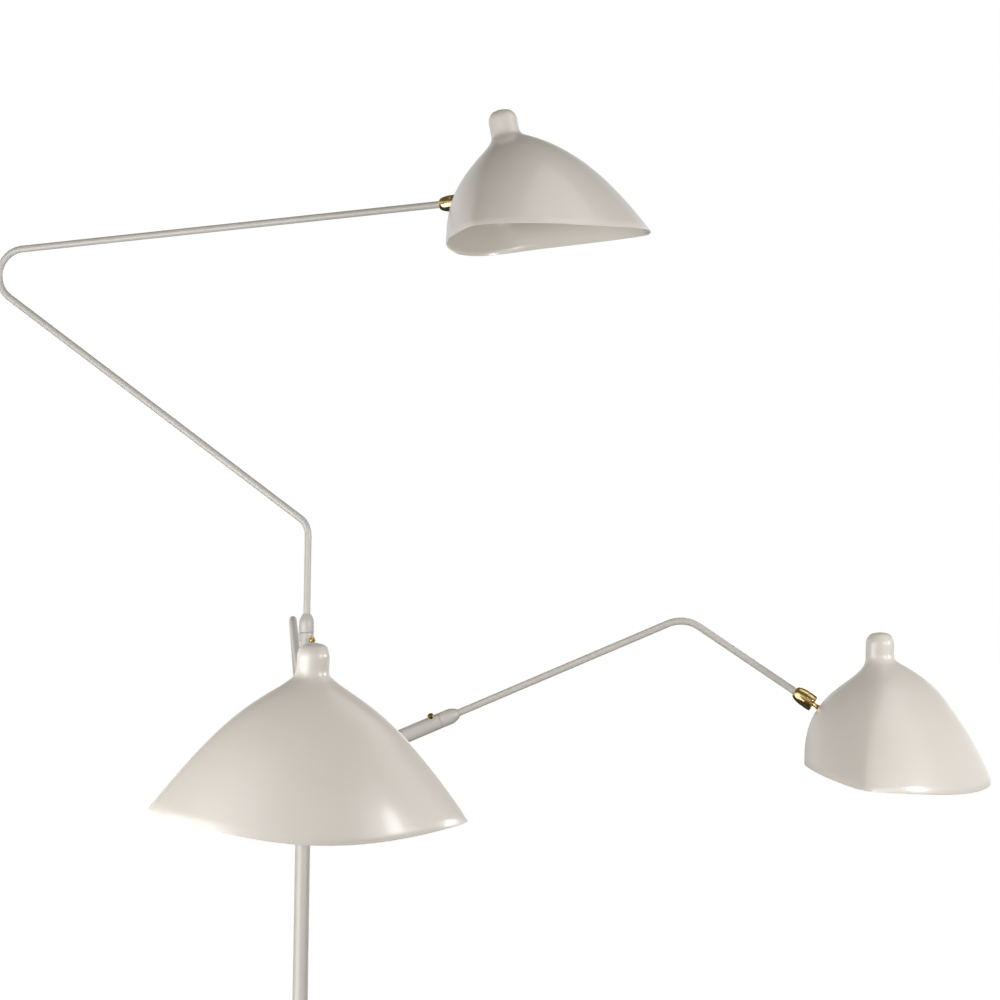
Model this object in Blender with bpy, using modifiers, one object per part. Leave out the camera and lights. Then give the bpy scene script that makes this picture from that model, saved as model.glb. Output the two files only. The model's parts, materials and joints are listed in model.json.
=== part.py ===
"""Standing lamp with three turning arms, each with a brass swivel and a folded sheet-metal shade.

Metres, +Z up. The origin is the point of the floor under the mast's axis. The right arm
reaches along +X, the front arm along -Y, and the upper arm turns on top of the mast.
Run with: blender --background --python part.py
"""
import math

import bmesh
import bpy
from mathutils import Matrix, Vector

# ---------------------------------------------------------------- driving dimensions
GAP = 0.0003                    # clearance between touching pieces

# stand
MAST_RADIUS = 0.0110
TUBE_WALL = 0.0015
MAST_TOP = 1.3674               # mouth of the sleeve that the upper arm turns in
BRANCH_HEIGHT = 1.1596          # where the two side sleeves leave the mast
SLEEVE_LENGTH = 0.2143          # from the mast's axis to the sleeve's mouth
SIDE_RISE = {"right": math.radians(23.9), "front": math.radians(23.2)}
SIDE_YAW = {"right": math.radians(-6.5), "front": math.radians(-88.8)}
HUB_RADIUS = 0.060
HUB_BOTTOM = 0.010
COVER_BOTTOM = 0.0077           # underside of the disc that closes the hub from below
COVER_RADIUS = 0.052
HUB_SIDE_TOP = 0.040
HUB_TOP = 0.085
MAST_FOOT = 0.026
LEG_COUNT = 3
LEG_RADIUS = 0.008
LEG_REACH = 0.300
LEG_FIRST_YAW = math.radians(-38.0)
PAD_RADIUS = 0.014

# bushes and clamp screws
BUSH_COLLAR = 0.0125            # length of the full-width part
BUSH_LENGTH = 0.0268            # collar and taper
BUSH_TIP_RADIUS = 0.0060
SPIGOT_RADIUS = 0.0091
SPIGOT_LENGTH = 0.045
SCREW_SETBACK = 0.0105          # from the sleeve's mouth to the screw's axis
SCREW_HEAD_RADIUS = 0.0048
SCREW_HEAD_LENGTH = 0.0050

# arms
ARM_RADIUS = 0.0050
ARM_WALL = 0.0010
WIRE_RADIUS = 0.0022
SIDE_CORNER = 0.5903            # from the mast's axis to the bend's corner
SIDE_TURN = math.radians(57.1)  # angle of the bend between the two stretches
SIDE_OUTER = 0.2121             # from the corner to the ball's centre
SIDE_BEND = 0.0470
UPPER_FIRST_CORNER = 1.5221     # height of the lower corner above the floor
UPPER_SLOPE = math.radians(34.84)
UPPER_BACK_REACH = 0.5664       # from the mast's axis to the rear corner
UPPER_RISE = math.radians(4.63)
UPPER_REACH = 0.2153            # from the mast's axis to the ball's centre
UPPER_FIRST_BEND = 0.0300
UPPER_BACK_BEND = 0.0390

# swivels
BALL_RADIUS = 0.0073
BARREL_RADIUS = 0.0118
BARREL_BACK = 0.0250            # from the ball's centre to the arm end of the barrel
BARREL_FRONT = 0.0067           # from the ball's centre to the barrel's mouth
STUD_LENGTH = 0.0210            # from the ball's centre to the shade's sheet
NECK_RADIUS = 0.0030
SLOT_WIDTH = 0.0074
FLANGE_RADIUS = 0.0100

# shade: meridians leave the neck at a slope and meet the rim at another one
SHEET = 0.0010
NECK_WIDTH = 0.0202             # outer radius of the domed cap
CAP_HEIGHT = 0.0388
CAP_ROUND = 0.0160
FRONT_REACH = 0.1538            # from the neck's axis to the front of the rim
FRONT_RADIUS = 0.2669           # of the rim's front edge in plan
BACK_REACH = 0.0987             # from the neck's axis to the back of the rim
BACK_OVAL_SHIFT = 0.4596        # centre of the oval that rounds the back
BACK_OVAL_WIDTH = 0.2690
CORNER_SHARPNESS = 30.0         # of the rim where its two edges meet
CREASE_SHARPNESS = 4.0          # of the sheet well above that corner
CREASE_FADE = 4.5               # how fast the corner dies away up the sheet
RIM_LEVEL = (-0.1529, -0.0120, -0.0053, 0.0003)
NECK_SLOPE = (56.5, -38.4, 7.9)
RIM_SLOPE = (76.7, -15.4, 9.3)
NECK_PULL = 0.183
RIM_PULL = 0.620
MOUNT_LEVEL = 0.701             # where the stud meets the back meridian, as its parameter
FRONT_COLUMNS = 6               # of each half, from the front to the corner
BACK_COLUMNS = 8                # of each half, from the corner to the back
UPPER_RINGS = 4                 # from the neck to the stud's level
LOWER_RINGS = 3                 # from the stud's level to the rim
CAP_RINGS = 3

# lampholders and bulbs
HOLDER_RADIUS = 0.0170
BULB_CAP_RADIUS = 0.0132
BULB_RADIUS = 0.0225
BULB_LENGTH = 0.0650
LEAD_RADIUS = 0.0014

# poses of the shades: heading from +X, pitch of the front below level, bank to its left
POSES = {
    "upper": (-40.4, -11.4, 3.4),
    "right": (-31.6, 2.8, 5.2),
    "front": (-82.9, 10.2, -1.5),
}
UPPER_YAW = math.radians(-17.5)
ARM_ROLL = {"upper": 0.0, "right": 0.0, "front": math.radians(7.3)}

# materials: colour, roughness, metallic
PAINT = ("paint", (0.80, 0.78, 0.74), 0.35, 0.0)
STEEL = ("blackened_steel", (0.10, 0.10, 0.10), 0.5, 1.0)
BRASS = ("brass", (0.62, 0.44, 0.20), 0.28, 1.0)
RUBBER = ("rubber", (0.03, 0.03, 0.03), 0.8, 0.0)
WIRE = ("wire_jacket", (0.60, 0.58, 0.54), 0.5, 0.0)
PORCELAIN = ("holder_plastic", (0.85, 0.84, 0.80), 0.4, 0.0)
GLASS = ("frosted_glass", (0.95, 0.94, 0.90), 0.3, 0.0)


# ---------------------------------------------------------------- building helpers
def clear_scene():
    """Remove the objects that the scene opens with."""
    for scene_object in list(bpy.data.objects):
        bpy.data.objects.remove(scene_object, do_unlink=True)


def new_collection(name):
    """Add a collection to the scene."""
    collection = bpy.data.collections.new(name)
    bpy.context.scene.collection.children.link(collection)
    return collection


def finish_material(finish):
    """Return the Principled material of a finish, made once."""
    name, colour, roughness, metallic = finish
    material = bpy.data.materials.get(name)
    if material is None:
        material = bpy.data.materials.new(name)
        material.use_nodes = True
        shader = material.node_tree.nodes["Principled BSDF"]
        shader.inputs["Base Color"].default_value = (*colour, 1.0)
        shader.inputs["Roughness"].default_value = roughness
        shader.inputs["Metallic"].default_value = metallic
    return material


def place(name, data, parent, finish, matrix=None):
    """Link an object for some mesh or curve data under a parent empty."""
    piece = bpy.data.objects.new(name, data)
    data.materials.append(finish_material(finish))
    PARTS.objects.link(piece)
    piece.parent = parent
    piece.matrix_local = matrix or Matrix()
    return piece


def frame_at(name, parent, matrix):
    """Add the empty that carries one body; its local Z is the body's joint axis."""
    empty = bpy.data.objects.new(name, None)
    empty.empty_display_size = 0.03
    PARTS.objects.link(empty)
    empty.parent = parent
    empty.matrix_local = matrix
    return empty


def turned(name, parent, profile, finish, steps=20, matrix=None):
    """Turn a profile of (radius, height) points about Z; it runs down its outer side."""
    mesh = bpy.data.meshes.new(name)
    closed = profile[0][0] > 0.0
    edges = [(i, i + 1) for i in range(len(profile) - 1)]
    if closed:
        edges.append((len(profile) - 1, 0))
    mesh.from_pydata([(radius, 0.0, height) for radius, height in profile], edges, [])
    piece = place(name, mesh, parent, finish, matrix)
    screw = piece.modifiers.new("turn", "SCREW")
    screw.angle = math.tau
    screw.steps = steps
    screw.render_steps = steps
    screw.use_merge_vertices = True
    screw.merge_threshold = 0.00002
    return piece


def rod(name, parent, points, radius, finish, resolution=4, wall=None):
    """Sweep a round section along points: a capped rod, or a tube when it has a wall."""
    curve = bpy.data.curves.new(name, "CURVE")
    curve.dimensions = "3D"
    curve.bevel_depth = radius
    curve.bevel_resolution = resolution
    curve.use_fill_caps = wall is None
    spline = curve.splines.new("POLY")
    spline.points.add(len(points) - 1)
    for spline_point, point in zip(spline.points, points):
        spline_point.co = (*point, 1.0)
    piece = place(name, curve, parent, finish)
    if wall is not None:
        solidify = piece.modifiers.new("wall", "SOLIDIFY")
        solidify.thickness = wall
        solidify.offset = -1.0
    return piece


def cutter(name, parent, radius, length, matrix):
    """Add a hidden cylinder along its local Z, from its origin, for Boolean cuts."""
    mesh = bpy.data.meshes.new(name)
    shape = bmesh.new()
    bmesh.ops.create_cone(shape, cap_ends=True, segments=24, radius1=radius, radius2=radius,
                          depth=length, matrix=Matrix.Translation((0.0, 0.0, length / 2)))
    shape.to_mesh(mesh)
    shape.free()
    return hide_cutter(name, mesh, parent, matrix)


def block_cutter(name, parent, low, high):
    """Add a hidden box between two corners, for Boolean cuts."""
    mesh = bpy.data.meshes.new(name)
    shape = bmesh.new()
    size = [b - a for a, b in zip(low, high)]
    middle = [(a + b) / 2 for a, b in zip(low, high)]
    bmesh.ops.create_cube(shape, size=1.0,
                          matrix=Matrix.Translation(middle) @ Matrix.Diagonal((*size, 1.0)))
    shape.to_mesh(mesh)
    shape.free()
    return hide_cutter(name, mesh, parent, Matrix())


def hide_cutter(name, mesh, parent, matrix):
    """Put a cutter in its own collection, out of the model."""
    tool = bpy.data.objects.new(name, mesh)
    CUTTERS.objects.link(tool)
    tool.parent = parent
    tool.matrix_local = matrix
    tool.hide_render = True
    tool.display_type = "WIRE"
    return tool


def cut(piece, *tools):
    """Take the tools' shapes away from a piece."""
    for tool in tools:
        boolean = piece.modifiers.new(tool.name, "BOOLEAN")
        boolean.operation = "DIFFERENCE"
        boolean.object = tool


def frame_matrix(origin, z_axis, x_hint):
    """Matrix with its Z along an axis and its X as near as can be to a hint."""
    z_dir = Vector(z_axis).normalized()
    y_dir = z_dir.cross(Vector(x_hint)).normalized()
    x_dir = y_dir.cross(z_dir)
    matrix = Matrix((x_dir, y_dir, z_dir)).transposed().to_4x4()
    matrix.translation = origin
    return matrix


def turn_z(angle):
    """Rotation about Z."""
    return Matrix.Rotation(angle, 4, "Z")


def bent_line(corners, radii, steps=6):
    """Points of a line through corners, each corner rounded by an arc of its radius."""
    corners = [Vector(corner) for corner in corners]
    points = [corners[0]]
    for index in range(1, len(corners) - 1):
        before = (corners[index - 1] - corners[index]).normalized()
        after = (corners[index + 1] - corners[index]).normalized()
        half = before.angle(after) / 2
        centre = corners[index] + (before + after).normalized() * radii[index - 1] / math.sin(half)
        start = (before / math.tan(half) * radii[index - 1] + corners[index] - centre).normalized()
        finish = (after / math.tan(half) * radii[index - 1] + corners[index] - centre).normalized()
        for step in range(steps + 1):
            points.append(centre + start.slerp(finish, step / steps) * radii[index - 1])
    points.append(corners[-1])
    return points


# ---------------------------------------------------------------- shade surface
def wave(coefficients, angle):
    """Cosine series in the plan angle."""
    return sum(value * math.cos(order * angle) for order, value in enumerate(coefficients))


def rim_edges(angle):
    """Distances from the neck's axis to the front edge and to the rounder back edge."""
    cosine = math.cos(angle)
    sine = math.sin(angle)
    centre = FRONT_REACH - FRONT_RADIUS
    inside = max(FRONT_RADIUS ** 2 - (centre * sine) ** 2, 1e-8)
    front = centre * cosine + math.sqrt(inside)
    length = BACK_OVAL_SHIFT + BACK_REACH
    square = (cosine / length) ** 2 + (sine / BACK_OVAL_WIDTH) ** 2
    linear = -2 * BACK_OVAL_SHIFT * cosine / length ** 2
    constant = (BACK_OVAL_SHIFT / length) ** 2 - 1
    back = (-linear + math.sqrt(linear ** 2 - 4 * square * constant)) / (2 * square)
    return front, back


def rim_radius(angle, sharpness=CORNER_SHARPNESS):
    """Distance from the neck's axis to the rim; the two edges meet in a sharp corner."""
    front, back = rim_edges(angle)
    return (front ** -sharpness + back ** -sharpness) ** (-1 / sharpness)


def corner_angle():
    """Plan angle at which the rim's front and back edges meet."""
    low, high = 0.5, 2.0
    for _ in range(40):
        middle = (low + high) / 2
        front, back = rim_edges(middle)
        if front < back:
            low = middle
        else:
            high = middle
    return (low + high) / 2


def plan_angles():
    """Plan angles of the shade's columns, closer together beside the two corners."""
    corner = corner_angle()
    half = []
    for step in range(FRONT_COLUMNS):
        half.append(corner * math.sin(math.pi / 2 * step / FRONT_COLUMNS))
    for step in range(BACK_COLUMNS + 1):
        share = step / BACK_COLUMNS
        ease = 0.6 * share + 0.4 * (1 - math.cos(math.pi / 2 * share))
        half.append(corner + (math.pi - corner) * ease)
    return half + [-angle for angle in half[-2:0:-1]]


def meridian(angle):
    """Bezier control points (radius, height) of the shade's outer surface at a plan angle."""
    level = wave(RIM_LEVEL, angle)
    start = Vector((NECK_WIDTH * 1.05, 0.0))
    end = Vector((rim_radius(angle), level))
    rounded_end = Vector((rim_radius(angle, CREASE_SHARPNESS), level))
    length = (rounded_end - start).length
    out = math.radians(wave(NECK_SLOPE, angle))
    down = math.radians(wave(RIM_SLOPE, angle))
    first = start + NECK_PULL * length * Vector((math.cos(out), -math.sin(out)))
    second = rounded_end - RIM_PULL * length * Vector((math.cos(down), -math.sin(down)))
    return start, first, second, rounded_end, end - rounded_end


def along(controls, t):
    """Point of a cubic Bezier; a fifth control is how far its end is pulled out to a corner."""
    a, b, c, d, *corner = controls
    s = 1 - t
    point = a * s ** 3 + b * 3 * s * s * t + c * 3 * s * t * t + d * t ** 3
    return point + corner[0] * t ** CREASE_FADE if corner else point


def shade_profile(angle):
    """(radius, height) points from the cap's top ring to the rim at a plan angle."""
    points = []
    for step in range(1, CAP_RINGS + 1):
        turn = math.pi / 2 * step / CAP_RINGS
        flat = NECK_WIDTH - CAP_ROUND
        points.append((flat * min(1.0, step / 2) + CAP_ROUND * math.sin(turn),
                       CAP_HEIGHT - CAP_ROUND + CAP_ROUND * math.cos(turn)))
    points.append((NECK_WIDTH, CAP_HEIGHT * 0.14))
    controls = meridian(angle)
    levels = [MOUNT_LEVEL * step / UPPER_RINGS for step in range(UPPER_RINGS)]
    levels += [MOUNT_LEVEL + (1 - MOUNT_LEVEL) * step / LOWER_RINGS
               for step in range(LOWER_RINGS + 1)]
    points += [tuple(along(controls, level)) for level in levels]
    return points


def shade_mesh(name):
    """Open outer surface of the shade: a loft of rings, closed over the cap by a fan."""
    shape = bmesh.new()
    columns = []
    for angle in plan_angles():
        column = [shape.verts.new((radius * math.cos(angle), radius * math.sin(angle), height))
                  for radius, height in shade_profile(angle)]
        columns.append(column)
    top = shape.verts.new((0.0, 0.0, CAP_HEIGHT))
    for column, following in zip(columns, columns[1:] + columns[:1]):
        shape.faces.new((top, column[0], following[0]))
        for row in range(len(column) - 1):
            shape.faces.new((column[row], column[row + 1], following[row + 1], following[row]))
    mesh = bpy.data.meshes.new(name)
    shape.to_mesh(mesh)
    shape.free()
    mesh.shade_smooth()
    return mesh


def stud_seat():
    """Point and outward normal of the shade's back where the stud is fastened."""
    controls = meridian(math.pi)
    point = along(controls, MOUNT_LEVEL)
    slope = (along(controls, MOUNT_LEVEL + 0.001) - point).normalized()
    return Vector((-point.x, 0.0, point.y)), Vector((slope.y, 0.0, slope.x))


# ---------------------------------------------------------------- stand
def make_hub():
    """Low heavy hub with its bolt, bottom cover and legs."""
    bore = MAST_RADIUS + GAP
    hub = turned("base_hub", STAND, [
        (bore, HUB_TOP), (0.0165, HUB_TOP), (0.0180, HUB_TOP - 0.002), (0.0200, 0.058),
        (0.0300, 0.049), (HUB_RADIUS - 0.006, HUB_SIDE_TOP + 0.002), (HUB_RADIUS, HUB_SIDE_TOP - 0.003),
        (HUB_RADIUS, HUB_BOTTOM + 0.001), (HUB_RADIUS - 0.001, HUB_BOTTOM),
        (0.0200, HUB_BOTTOM), (0.0200, MAST_FOOT - 0.004), (0.0090, MAST_FOOT - 0.004),
        (0.0090, MAST_FOOT - GAP), (bore, MAST_FOOT - GAP)], STEEL, steps=24)
    turned("base_bolt", STAND, [
        (0.0087, 0.052), (0.0087, MAST_FOOT - 0.004 - GAP), (0.0160, MAST_FOOT - 0.004 - GAP),
        (0.0160, HUB_BOTTOM + 0.005), (0.0035, HUB_BOTTOM + 0.005), (0.0035, 0.052)],
           BRASS, steps=6)
    turned("base_cover", STAND, [
        (0.0, HUB_BOTTOM - GAP), (COVER_RADIUS - 0.0005, HUB_BOTTOM - GAP),
        (COVER_RADIUS, HUB_BOTTOM - GAP - 0.0005), (COVER_RADIUS, COVER_BOTTOM), (0.0, COVER_BOTTOM)],
           STEEL, steps=24)
    for index in range(LEG_COUNT):
        make_leg(index, hub)
    exit_yaw = LEG_FIRST_YAW + math.pi
    level = HUB_BOTTOM + 0.0075
    outward = (math.cos(exit_yaw), math.sin(exit_yaw), 0.0)
    start = (0.015 * outward[0], 0.015 * outward[1], level)
    cut(hub, cutter("cord_hole", STAND, 0.0048, 0.050, frame_matrix(start, outward, (0, 0, 1))))
    seat = HUB_RADIUS + GAP
    gland_frame = frame_matrix((seat * outward[0], seat * outward[1], level), outward, (0, 0, 1))
    turned("cord_gland", STAND, [
        (0.0030, 0.0060), (0.0045, 0.0060), (0.0068, 0.0040), (0.0068, 0.0),
        (0.0045, 0.0), (0.0045, -0.0120), (0.0030, -0.0120)], RUBBER, steps=12, matrix=gland_frame)


def make_leg(index, hub):
    """Arched leg let into the hub's side, and the pad under its end."""
    yaw = LEG_FIRST_YAW + math.tau * index / LEG_COUNT
    level = 0.026
    tip = 0.0185
    inner = HUB_RADIUS - 0.018
    frame = frame_at(f"leg_frame_{index + 1}", STAND, turn_z(yaw))
    steps = 8
    points = [(inner, 0.0, level), (HUB_RADIUS, 0.0, level)]
    for step in range(1, steps + 1):
        share = step / steps
        points.append((HUB_RADIUS + (LEG_REACH - HUB_RADIUS) * share, 0.0,
                       level + (tip - level) * share + 0.016 * math.sin(math.pi * share)))
    rod(f"leg_{index + 1}", frame, points, LEG_RADIUS, PAINT, resolution=3)
    along_x = frame_matrix((inner - GAP, 0.0, level), (1, 0, 0), (0, 0, 1))
    cut(hub, cutter(f"leg_hole_{index + 1}", frame, LEG_RADIUS + GAP, 0.040, along_x))
    pad_top = tip - LEG_RADIUS - 0.0012
    turned(f"foot_pad_{index + 1}", frame, [
        (0.0, pad_top), (PAD_RADIUS - 0.002, pad_top), (PAD_RADIUS, pad_top - 0.002),
        (PAD_RADIUS, 0.0008), (PAD_RADIUS - 0.0008, 0.0), (0.0, 0.0)],
           RUBBER, steps=16, matrix=Matrix.Translation((LEG_REACH - 0.012, 0.0, 0.0)))


def make_mast():
    """Mast tube with holes to the side sleeves, its wires and the block that parts them."""
    bore = MAST_RADIUS - TUBE_WALL
    mast = turned("mast_tube", STAND, [
        (bore, MAST_TOP), (MAST_RADIUS, MAST_TOP), (MAST_RADIUS, MAST_FOOT), (bore, MAST_FOOT)],
                  PAINT)
    turned("branch_block", STAND, [
        (0.0025, BRANCH_HEIGHT - 0.028), (bore - GAP, BRANCH_HEIGHT - 0.028),
        (bore - GAP, BRANCH_HEIGHT - 0.043), (0.0025, BRANCH_HEIGHT - 0.043)], PORCELAIN, steps=12)
    rod("mast_wire", STAND, [(0, 0, 0.054), (0, 0, BRANCH_HEIGHT + 0.12)], WIRE_RADIUS, WIRE,
        resolution=2)
    return mast


def sleeve_frame(yaw, rise):
    """Frame of a side sleeve at the mast's axis: Z outward along it, X down in its plane."""
    heading = Vector((math.cos(yaw), math.sin(yaw), 0.0))
    up = Vector((0.0, 0.0, 1.0))
    axis = math.cos(rise) * heading + math.sin(rise) * up
    down = math.sin(rise) * heading - math.cos(rise) * up
    return frame_matrix((0.0, 0.0, BRANCH_HEIGHT), axis, down)


def make_sleeve(side, mast, neighbour=None):
    """Side sleeve coped to the mast, and to the sleeve beside it."""
    bore = MAST_RADIUS - TUBE_WALL
    start = 0.003
    name = f"sleeve_{side}"
    frame = frame_at(f"{name}_frame", STAND, sleeve_frame(SIDE_YAW[side], SIDE_RISE[side]))
    sleeve = turned(name, frame, [
        (bore, SLEEVE_LENGTH), (MAST_RADIUS, SLEEVE_LENGTH), (MAST_RADIUS, start), (bore, start)],
                    PAINT)
    cut(sleeve, cutter(f"{name}_cope", STAND, MAST_RADIUS + GAP, 0.12,
                       Matrix.Translation((0.0, 0.0, BRANCH_HEIGHT - 0.06))))
    if neighbour is not None:
        cut(sleeve, cutter(f"{name}_mitre", neighbour, MAST_RADIUS + GAP, 0.08, Matrix()))
    cut(mast, cutter(f"{name}_wire_hole", frame, 0.0045, 0.020, Matrix()))
    return sleeve, frame


def clamp_screw(name, sleeve, frame, mouth, around):
    """Hollow-headed clamp screw through a sleeve's wall, on its own axis."""
    setback = mouth - SCREW_SETBACK
    outward = Vector((math.cos(around), math.sin(around), 0.0))
    screw_frame = frame_at(f"{name}_axis", frame,
                           frame_matrix(Vector((0.0, 0.0, setback)), outward, (0, 0, 1)))
    seat = MAST_RADIUS + GAP
    tip = SPIGOT_RADIUS + GAP
    top = seat + SCREW_HEAD_LENGTH
    turned(name, screw_frame, [
        (0.0, top - 0.0035), (0.0022, top - 0.0035), (0.0022, top),
        (SCREW_HEAD_RADIUS - 0.0006, top), (SCREW_HEAD_RADIUS, top - 0.0006),
        (SCREW_HEAD_RADIUS, seat + 0.0006), (0.0024, seat + 0.0006), (0.0024, tip), (0.0, tip)],
           BRASS, steps=12)
    cut(sleeve, cutter(f"{name}_hole", screw_frame, 0.0024 + GAP, 0.02,
                       Matrix.Translation((0.0, 0.0, 0.003))))


# ---------------------------------------------------------------- arms
def make_bush(arm, frame):
    """Turned bush: collar and taper outside the sleeve, spigot inside it."""
    bore = ARM_RADIUS + GAP
    turned(f"{arm}_arm_bush", frame, [
        (bore, BUSH_LENGTH), (BUSH_TIP_RADIUS, BUSH_LENGTH),
        (BUSH_TIP_RADIUS + 0.0024, BUSH_LENGTH - 0.0040), (MAST_RADIUS, BUSH_COLLAR),
        (MAST_RADIUS, GAP), (SPIGOT_RADIUS, GAP), (SPIGOT_RADIUS, -SPIGOT_LENGTH),
        (0.0030, -SPIGOT_LENGTH), (0.0030, BUSH_LENGTH - 0.022), (bore, BUSH_LENGTH - 0.022)], PAINT,
           steps=16)


def make_arm(arm, frame, corners, radii):
    """Bent arm tube and the wire in it; the corners run from the bush to the ball's centre."""
    end_direction = (corners[-1] - corners[-2]).normalized()
    tube_end = corners[-1] - end_direction * (BARREL_BACK - 0.0065)
    start = Vector((0.0, 0.0, BUSH_LENGTH - 0.022 + GAP))
    rod(f"{arm}_arm_tube", frame, bent_line([start] + corners[1:-1] + [tube_end], radii),
        ARM_RADIUS, PAINT, resolution=3, wall=ARM_WALL)
    wire_start = Vector((0.0, 0.0, -SPIGOT_LENGTH - 0.02))
    rod(f"{arm}_arm_wire", frame, bent_line([wire_start] + corners[1:-1] + [tube_end], radii),
        WIRE_RADIUS, WIRE, resolution=2)


def side_corners():
    """Corners of a side arm in the frame of its bush."""
    corner = Vector((0.0, 0.0, SIDE_CORNER - SLEEVE_LENGTH))
    outer = Vector((math.sin(SIDE_TURN), 0.0, math.cos(SIDE_TURN)))
    return [Vector((0.0, 0.0, 0.0)), corner, corner + SIDE_OUTER * outer]


def upper_corners():
    """Corners of the double-bent upper arm in the frame of its bush."""
    first = Vector((0.0, 0.0, UPPER_FIRST_CORNER - MAST_TOP))
    back = first + UPPER_BACK_REACH * Vector((-1.0, 0.0, math.tan(UPPER_SLOPE)))
    run = UPPER_BACK_REACH + UPPER_REACH
    ball = back + run * Vector((1.0, 0.0, math.tan(UPPER_RISE)))
    return [Vector((0.0, 0.0, 0.0)), first, back, ball]


# ---------------------------------------------------------------- heads
def make_barrel(arm, frame):
    """Slotted bullet barrel that turns on the arm's end and holds the ball."""
    cavity = BALL_RADIUS + GAP
    nose = 0.020
    profile = [(0.0059, BARREL_FRONT), (BARREL_RADIUS - 0.0008, BARREL_FRONT),
               (BARREL_RADIUS, BARREL_FRONT - 0.0008)]
    for step in range(5):
        turn = math.pi / 2 * step / 4
        profile.append((0.0062 + (BARREL_RADIUS - 0.0062) * math.cos(turn),
                        nose - BARREL_BACK - nose * math.sin(turn)))
    profile += [(ARM_RADIUS + GAP, -BARREL_BACK), (ARM_RADIUS + GAP, 0.007 - BARREL_BACK),
                (0.0030, 0.007 - BARREL_BACK)]
    low = math.asin(0.0030 / cavity)
    high = math.pi - math.asin(0.0059 / cavity)
    for step in range(7):
        turn = low + (high - low) * step / 6
        profile.append((cavity * math.sin(turn), -cavity * math.cos(turn)))
    barrel = turned(f"{arm}_swivel_barrel", frame, profile, BRASS, steps=16)
    slot = block_cutter(f"{arm}_slot", frame, (0.0, -SLOT_WIDTH / 2, -0.0004),
                        (0.020, SLOT_WIDTH / 2, 0.020))
    cut(barrel, slot)


def make_stud(arm, frame):
    """Ball with a flared neck and a threaded end, drilled for the lead."""
    drill = 0.0017
    flare_top = STUD_LENGTH - 0.0012 - 2 * GAP
    profile = [(drill, STUD_LENGTH + 0.0085), (0.0031, STUD_LENGTH + 0.0085), (0.0031, flare_top),
               (0.0065, flare_top), (0.0065, flare_top - 0.0008)]
    flare = flare_top - 0.0008 - 0.0120
    for step in range(1, 4):
        turn = math.pi / 2 * step / 3
        profile.append((0.0065 - (0.0065 - NECK_RADIUS) * math.sin(turn),
                        0.0120 + flare * math.cos(turn)))
    start = math.asin(NECK_RADIUS / BALL_RADIUS)
    end = math.pi - math.asin(drill / BALL_RADIUS)
    for step in range(7):
        turn = start + (end - start) * step / 6
        profile.append((BALL_RADIUS * math.sin(turn), BALL_RADIUS * math.cos(turn)))
    turned(f"{arm}_ball_stud", frame, profile, BRASS, steps=12)


def make_shade(arm, frame, shade_matrix):
    """Shade with its flange, lock nut, lampholder, bulb and lead, in the spinning frame."""
    turned(f"{arm}_stud_flange", frame, [
        (0.0034, STUD_LENGTH - GAP), (FLANGE_RADIUS, STUD_LENGTH - GAP),
        (FLANGE_RADIUS, STUD_LENGTH - 0.0012 - GAP), (0.0034, STUD_LENGTH - 0.0012 - GAP)], BRASS,
           steps=18)
    inside = STUD_LENGTH + SHEET + 0.0018
    turned(f"{arm}_lock_nut", frame, [
        (0.0039, inside + 0.0035), (0.0060, inside + 0.0035), (0.0060, inside), (0.0039, inside)],
           BRASS, steps=6)
    shade = place(f"{arm}_shade", shade_mesh(f"{arm}_shade"), frame, PAINT, shade_matrix)
    solidify = shade.modifiers.new("sheet", "SOLIDIFY")
    solidify.thickness = SHEET
    solidify.offset = -1.0
    cut(shade, cutter(f"{arm}_stud_hole", frame, 0.0034, 0.010,
                      Matrix.Translation((0.0, 0.0, STUD_LENGTH - 0.004))))
    turned(f"{arm}_lampholder", frame, [
        (0.0, CAP_HEIGHT - 0.0045), (0.0080, CAP_HEIGHT - 0.0050), (0.0135, CAP_HEIGHT - 0.0085),
        (HOLDER_RADIUS, CAP_HEIGHT - 0.0160), (HOLDER_RADIUS, -0.0090),
        (BULB_CAP_RADIUS + 0.0008, -0.0090), (BULB_CAP_RADIUS + 0.0008, 0.0210), (0.0, 0.0210)],
           PORCELAIN, steps=14, matrix=shade_matrix)
    turned(f"{arm}_holder_ring", frame, [
        (HOLDER_RADIUS + GAP, 0.0010), (0.0188, 0.0010), (0.0188, -0.0030),
        (HOLDER_RADIUS + GAP, -0.0030)], PORCELAIN, steps=14, matrix=shade_matrix)
    make_bulb(arm, frame, shade_matrix)
    make_lead(arm, frame, shade_matrix)


def make_bulb(arm, frame, shade_matrix):
    """Round bulb with its screw cap in the lampholder."""
    profile = [(0.0, 0.0200), (BULB_CAP_RADIUS - 0.003, 0.0200), (BULB_CAP_RADIUS, 0.0180),
               (BULB_CAP_RADIUS, -0.0060), (BULB_CAP_RADIUS + 0.0004, -0.0120)]
    centre = -0.0120 - BULB_LENGTH + BULB_RADIUS
    for step in range(8):
        turn = math.radians(48.0) + (math.pi - math.radians(48.0)) * step / 7
        radius = BULB_RADIUS * math.sin(turn)
        profile.append((radius if step < 7 else 0.0, centre + BULB_RADIUS * math.cos(turn)))
    turned(f"{arm}_bulb", frame, profile, GLASS, steps=14, matrix=shade_matrix)


def make_lead(arm, frame, shade_matrix):
    """Lead from the stud's end up the inside of the shade to the lampholder."""
    seat, normal = stud_seat()
    start = seat - normal * 0.0093
    bend = seat - normal * 0.0150 + Vector((0.006, 0.0, 0.004))
    side = Vector((-HOLDER_RADIUS - 0.0050, 0.0, -0.0180))
    end = Vector((-HOLDER_RADIUS + 0.0015, 0.0, -0.0110))
    points = bent_line([start, bend, side, end], [0.005, 0.004], steps=4)
    in_frame = [shade_matrix @ point for point in points]
    rod(f"{arm}_lead", frame, in_frame, LEAD_RADIUS, WIRE, resolution=2)


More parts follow.
